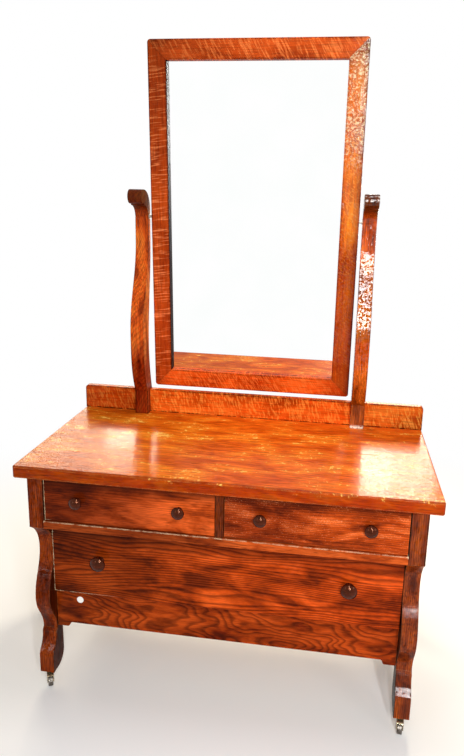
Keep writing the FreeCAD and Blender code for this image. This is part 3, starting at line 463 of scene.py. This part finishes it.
# Silvered float glass: an even, nearly perfect reflection, a breath of old haze in places.
silvered, tree, shader = newMaterial("silvered_glass")
spot = addNode(tree, "ShaderNodeTexCoord").outputs["Object"]
haze = addNode(tree, "ShaderNodeTexNoise", {
    "Vector": spot, "Scale": 1 / (120 * mm), "Detail": 2.0}).outputs[0]
hazeRough = addNode(tree, "ShaderNodeMapRange", {
    "Value": haze, "From Min": 0.35, "From Max": 0.7, "To Min": 0.0, "To Max": 0.012}).outputs[0]
hazeColour = addNode(tree, "ShaderNodeValToRGB", {"Fac": haze}, stops=[
    (0.3, "#ffffff"), (0.8, "#fcfefd")]).outputs[0]
tree.links.new(hazeRough, shader.inputs["Roughness"])
tree.links.new(hazeColour, shader.inputs["Base Color"])
shader.inputs["Metallic"].default_value = 1.0
dress(silvered, "mirror_glass")

# Turned hardwood knobs under thick dark brown lacquer: nearly black, with a small sharp highlight that the
# brown of the lacquer warms.
lacquer, tree, shader = newMaterial("turned_wood_dark_lacquer")
spot = addNode(tree, "ShaderNodeTexCoord").outputs["Object"]
stretched = addNode(tree, "ShaderNodeVectorMath", {0: spot, 1: (1.0, 1.0, 5.0)},
                    operation="MULTIPLY").outputs[0]
vein = addNode(tree, "ShaderNodeTexNoise", {
    "Vector": stretched, "Scale": 1 / (14 * mm), "Detail": 3.0, "Roughness": 0.6}).outputs[0]
veinColour = addNode(tree, "ShaderNodeValToRGB", {"Fac": vein}, stops=[
    (0.3, "#200602"), (0.75, "#4c1606")]).outputs[0]
tree.links.new(veinColour, shader.inputs["Base Color"])
shader.inputs["Roughness"].default_value = 0.1
shader.inputs["Specular IOR Level"].default_value = 0.4
shader.inputs["Specular Tint"].default_value = linear("#ffb088")
dress(lacquer, "left_drawer_knobs", "right_drawer_knobs", "long_drawer_knobs")


# Metals: the eye sees worn bright metal with duller and rougher patches of tarnish or rust.
def makeMetal(name, clean, dirty, patch, smooth, coarse, dirt):
    material, tree, shader = newMaterial(name)
    spot = addNode(tree, "ShaderNodeTexCoord").outputs["Object"]
    soil = addNode(tree, "ShaderNodeTexNoise", {
        "Vector": spot, "Scale": 1 / (patch * mm), "Detail": 5.0, "Roughness": 0.65}).outputs[0]
    soilMask = addNode(tree, "ShaderNodeMapRange", {
        "Value": soil, "From Min": 0.62 - dirt, "From Max": 0.72 - dirt * 0.5}).outputs[0]
    colour = addNode(tree, "ShaderNodeMix", {
        "Factor": soilMask, 6: linear(clean), 7: linear(dirty)}, data_type="RGBA").outputs[2]
    rough = addNode(tree, "ShaderNodeMapRange", {
        "Value": soilMask, "To Min": smooth, "To Max": coarse}).outputs[0]
    normal = addNode(tree, "ShaderNodeBump", {
        "Height": soil, "Strength": 0.3, "Distance": 0.2 * mm}).outputs[0]
    tree.links.new(colour, shader.inputs["Base Color"])
    tree.links.new(rough, shader.inputs["Roughness"])
    tree.links.new(normal, shader.inputs["Normal"])
    shader.inputs["Metallic"].default_value = 0.9
    return material


screwSteel = makeMetal("drawn_steel_dull", clean="#a7a39c", dirty="#6d5a48", patch=9.0,
                       smooth=0.28, coarse=0.6, dirt=0.1)
casterBrass = makeMetal("stamped_brass_tarnished", clean="#b7a88a", dirty="#5b4a34", patch=12.0,
                        smooth=0.24, coarse=0.55, dirt=0.12)
wheelIron = makeMetal("cast_iron_worn", clean="#77716a", dirty="#3a2e26", patch=8.0,
                      smooth=0.38, coarse=0.75, dirt=0.14)
dress(screwSteel, "post_screws", "pivot_rods", "pivot_bushes", "backboard_screws",
      "left_drawer_knob_screws", "right_drawer_knob_screws", "long_drawer_knob_screws")
corners = ["front_left", "front_right", "rear_left", "rear_right"]
dress(casterBrass, "caster_sockets", *["caster_horn_" + corner for corner in corners])
dress(wheelIron, *["caster_wheel_" + corner for corner in corners])
print("glass, knobs and metals made")


# A blank round paper dot stuck on the apron.
paperDot = dict(across=19.0, thick=0.25, x=-393.5, z=253.0)
dotMesh = bmesh.new()
bmesh.ops.create_circle(dotMesh, cap_ends=True, segments=32, radius=paperDot["across"] / 2 * mm)
grown = bmesh.ops.extrude_face_region(dotMesh, geom=list(dotMesh.faces))
bmesh.ops.translate(dotMesh, verts=[v for v in grown["geom"] if isinstance(v, bmesh.types.BMVert)],
                    vec=(0.0, 0.0, paperDot["thick"] * mm))
bmesh.ops.recalc_face_normals(dotMesh, faces=dotMesh.faces)
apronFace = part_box("apron")[0].y
bmesh.ops.transform(dotMesh, verts=dotMesh.verts, matrix=Matrix.Translation(
    (paperDot["x"] * mm, apronFace, paperDot["z"] * mm)) @ Matrix.Rotation(quarterTurn, 4, "X"))
dotData = bpy.data.meshes.new("paper_dot")
dotMesh.to_mesh(dotData)
dotMesh.free()
dot = bpy.data.objects.new("paper_dot", dotData)
bpy.context.scene.collection.objects.link(dot)
paper, tree, shader = newMaterial("coated_paper_matt")
spot = addNode(tree, "ShaderNodeTexCoord").outputs["Object"]
fluff = addNode(tree, "ShaderNodeTexNoise", {
    "Vector": spot, "Scale": 1 / (2 * mm), "Detail": 3.0}).outputs[0]
paperColour = addNode(tree, "ShaderNodeValToRGB", {"Fac": fluff}, stops=[
    (0.3, "#eeeae2"), (0.7, "#fbf9f4")]).outputs[0]
tree.links.new(paperColour, shader.inputs["Base Color"])
shader.inputs["Roughness"].default_value = 0.7
dotData.materials.append(paper)
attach(dot, "case")
print("paper dot made")


# Floor, light and camera. The panes are narrow windows before the dresser: each lays one long glare on a
# standard, on the mirror's stile or on a front foot. The lamps behind are what the top reflects.
studio = dict(
    floorColour="#f4f4f3", floorSize=14.0, floorLift=0.1, clearFrom=0.8, clearTo=2.0, ambient=0.25,
    lamps=[
        # name, place and aim in m, width and height in m, watts, colour
        ("standardPane", (0.435, -2.1, 2.0), (0.33, 0.0, 1.1), 0.1, 1.52, 23.0, "#ffffff"),
        ("stilePane", (0.362, -2.1, 1.8), (0.3, 0.0, 1.6), 0.05, 0.8, 3.6, "#fff0d4"),
        ("footPaneRight", (0.77, -2.1, 1.3), (0.48, 0.0, 0.1), 0.11, 0.8, 20.0, "#ffffff"),
        ("footPaneLeft", (-1.37, -2.1, 1.3), (-0.48, 0.0, 0.1), 0.12, 0.8, 3.0, "#ffffff"),
        ("overhead", (0.2, 0.0, 2.8), (0.0, 0.0, 0.6), 0.6, 0.5, 14.0, "#ffffff"),
        ("sideRight", (1.9, -1.3, 1.3), (0.2, 0.0, 0.6), 0.4, 0.5, 3.0, "#ffffff"),
        ("behindLeft", (-1.15, 1.5, 1.3), (-0.4, 0.0, 0.7), 0.75, 0.5, 15.0, "#fff0d4"),
        ("behindLeftCore", (-0.915, 1.6, 1.32), (-0.33, 0.0, 0.7), 0.16, 0.13, 2.5, "#fff0d4"),
        ("behindGap", (-0.733, 1.6, 1.33), (-0.26, 0.0, 0.7), 0.05, 0.25, 1.5, "#fff0d4"),
        ("behindRight", (0.6, 1.5, 1.3), (0.4, 0.0, 0.7), 0.42, 0.6, 26.0, "#fff0d4"),
        ("behindRightCore", (0.51, 1.6, 1.39), (0.4, 0.0, 0.7), 0.16, 0.2, 3.0, "#fff0d4"),
    ])


def seenWhite(tree):                # 1 for rays that look at the background, straight or by reflection
    path = addNode(tree, "ShaderNodeLightPath").outputs
    either = addNode(tree, "ShaderNodeMath", {
        0: path["Is Camera Ray"], 1: path["Is Glossy Ray"]}, operation="MAXIMUM").outputs[0]
    return addNode(tree, "ShaderNodeMath", {
        0: either, 1: path["Is Transmission Ray"]}, operation="MAXIMUM").outputs[0]


floorMesh = bmesh.new()
bmesh.ops.create_grid(floorMesh, x_segments=1, y_segments=1, size=studio["floorSize"] / 2)
floorData = bpy.data.meshes.new("floor")
floorMesh.to_mesh(floorData)
floorMesh.free()
floor = bpy.data.objects.new("floor", floorData)
bpy.context.scene.collection.objects.link(floor)
pale, tree, shader = newMaterial("studio_floor_pale")
shader.inputs["Base Color"].default_value = linear(studio["floorColour"])
shader.inputs["Roughness"].default_value = 0.9
shader.inputs["Specular IOR Level"].default_value = 0.0
spot = addNode(tree, "ShaderNodeTexCoord").outputs["Object"]
away = addNode(tree, "ShaderNodeVectorMath", {0: spot}, operation="LENGTH").outputs["Value"]
clear = addNode(tree, "ShaderNodeMapRange", {
    "Value": away, "From Min": studio["clearFrom"], "From Max": studio["clearTo"],
    "To Min": studio["floorLift"]}, interpolation_type="SMOOTHSTEP").outputs[0]
clearSeen = addNode(tree, "ShaderNodeMath", {0: clear, 1: seenWhite(tree)}, operation="MULTIPLY").outputs[0]
blank = addNode(tree, "ShaderNodeEmission", {"Strength": 1.0}).outputs[0]
whole = addNode(tree, "ShaderNodeMixShader", {0: clearSeen, 1: shader.outputs[0], 2: blank}).outputs[0]
tree.links.new(whole, tree.nodes["Material Output"].inputs["Surface"])
floorData.materials.append(pale)

world = bpy.data.worlds.new("studio")
world.use_nodes = True
bpy.context.scene.world = world
tree = world.node_tree
ambient = tree.nodes["Background"]
ambient.inputs["Color"].default_value = (1.0, 1.0, 1.0, 1.0)
ambient.inputs["Strength"].default_value = studio["ambient"]
white = addNode(tree, "ShaderNodeBackground", {"Color": (1.0, 1.0, 1.0, 1.0), "Strength": 1.0}).outputs[0]
sky = addNode(tree, "ShaderNodeMixShader", {0: seenWhite(tree), 1: ambient.outputs[0], 2: white}).outputs[0]
tree.links.new(sky, tree.nodes["World Output"].inputs["Surface"])

for name, place, aim, width, height, watts, colour in studio["lamps"]:
    lamp = bpy.data.lights.new(name, "AREA")
    lamp.shape = "RECTANGLE"
    lamp.size = width
    lamp.size_y = height
    lamp.energy = watts
    lamp.color = linear(colour)[:3]
    holder = bpy.data.objects.new(name, lamp)
    bpy.context.scene.collection.objects.link(holder)
    holder.location = place
    holder.rotation_euler = (Vector(aim) - Vector(place)).to_track_quat("-Z", "Y").to_euler()
    holder.visible_camera = False

# place in m, turns in radians, focal length, centre and size in pixels, sensor in mm
view = dict(
    place=(0.25956, -1.66691, 1.32982), yaw=0.14347, pitch=-0.23277, roll=0.02386,
    focal=636.989, centre=(245.216, 351.920), width=464, height=756, sensor=36.0)
camera = bpy.data.cameras.new("camera")
camera.sensor_fit = "HORIZONTAL"
camera.sensor_width = view["sensor"]
camera.lens = view["focal"] / view["width"] * view["sensor"]
camera.shift_x = (view["width"] / 2 - view["centre"][0]) / view["width"]
camera.shift_y = (view["centre"][1] - view["height"] / 2) / view["width"]
eye = bpy.data.objects.new("camera", camera)
bpy.context.scene.collection.objects.link(eye)
forward = Vector((-math.sin(view["yaw"]) * math.cos(view["pitch"]),
                  math.cos(view["yaw"]) * math.cos(view["pitch"]), math.sin(view["pitch"])))
level = Vector((math.cos(view["yaw"]), math.sin(view["yaw"]), 0.0))
upright = level.cross(forward)
right = level * math.cos(view["roll"]) + upright * math.sin(view["roll"])
up = upright * math.cos(view["roll"]) - level * math.sin(view["roll"])
eye.matrix_world = Matrix.Translation(view["place"]) @ Matrix((right, up, -forward)).transposed().to_4x4()
bpy.context.scene.camera = eye
bpy.context.scene.view_settings.view_transform = "Standard"
print("floor, lamps and camera set")
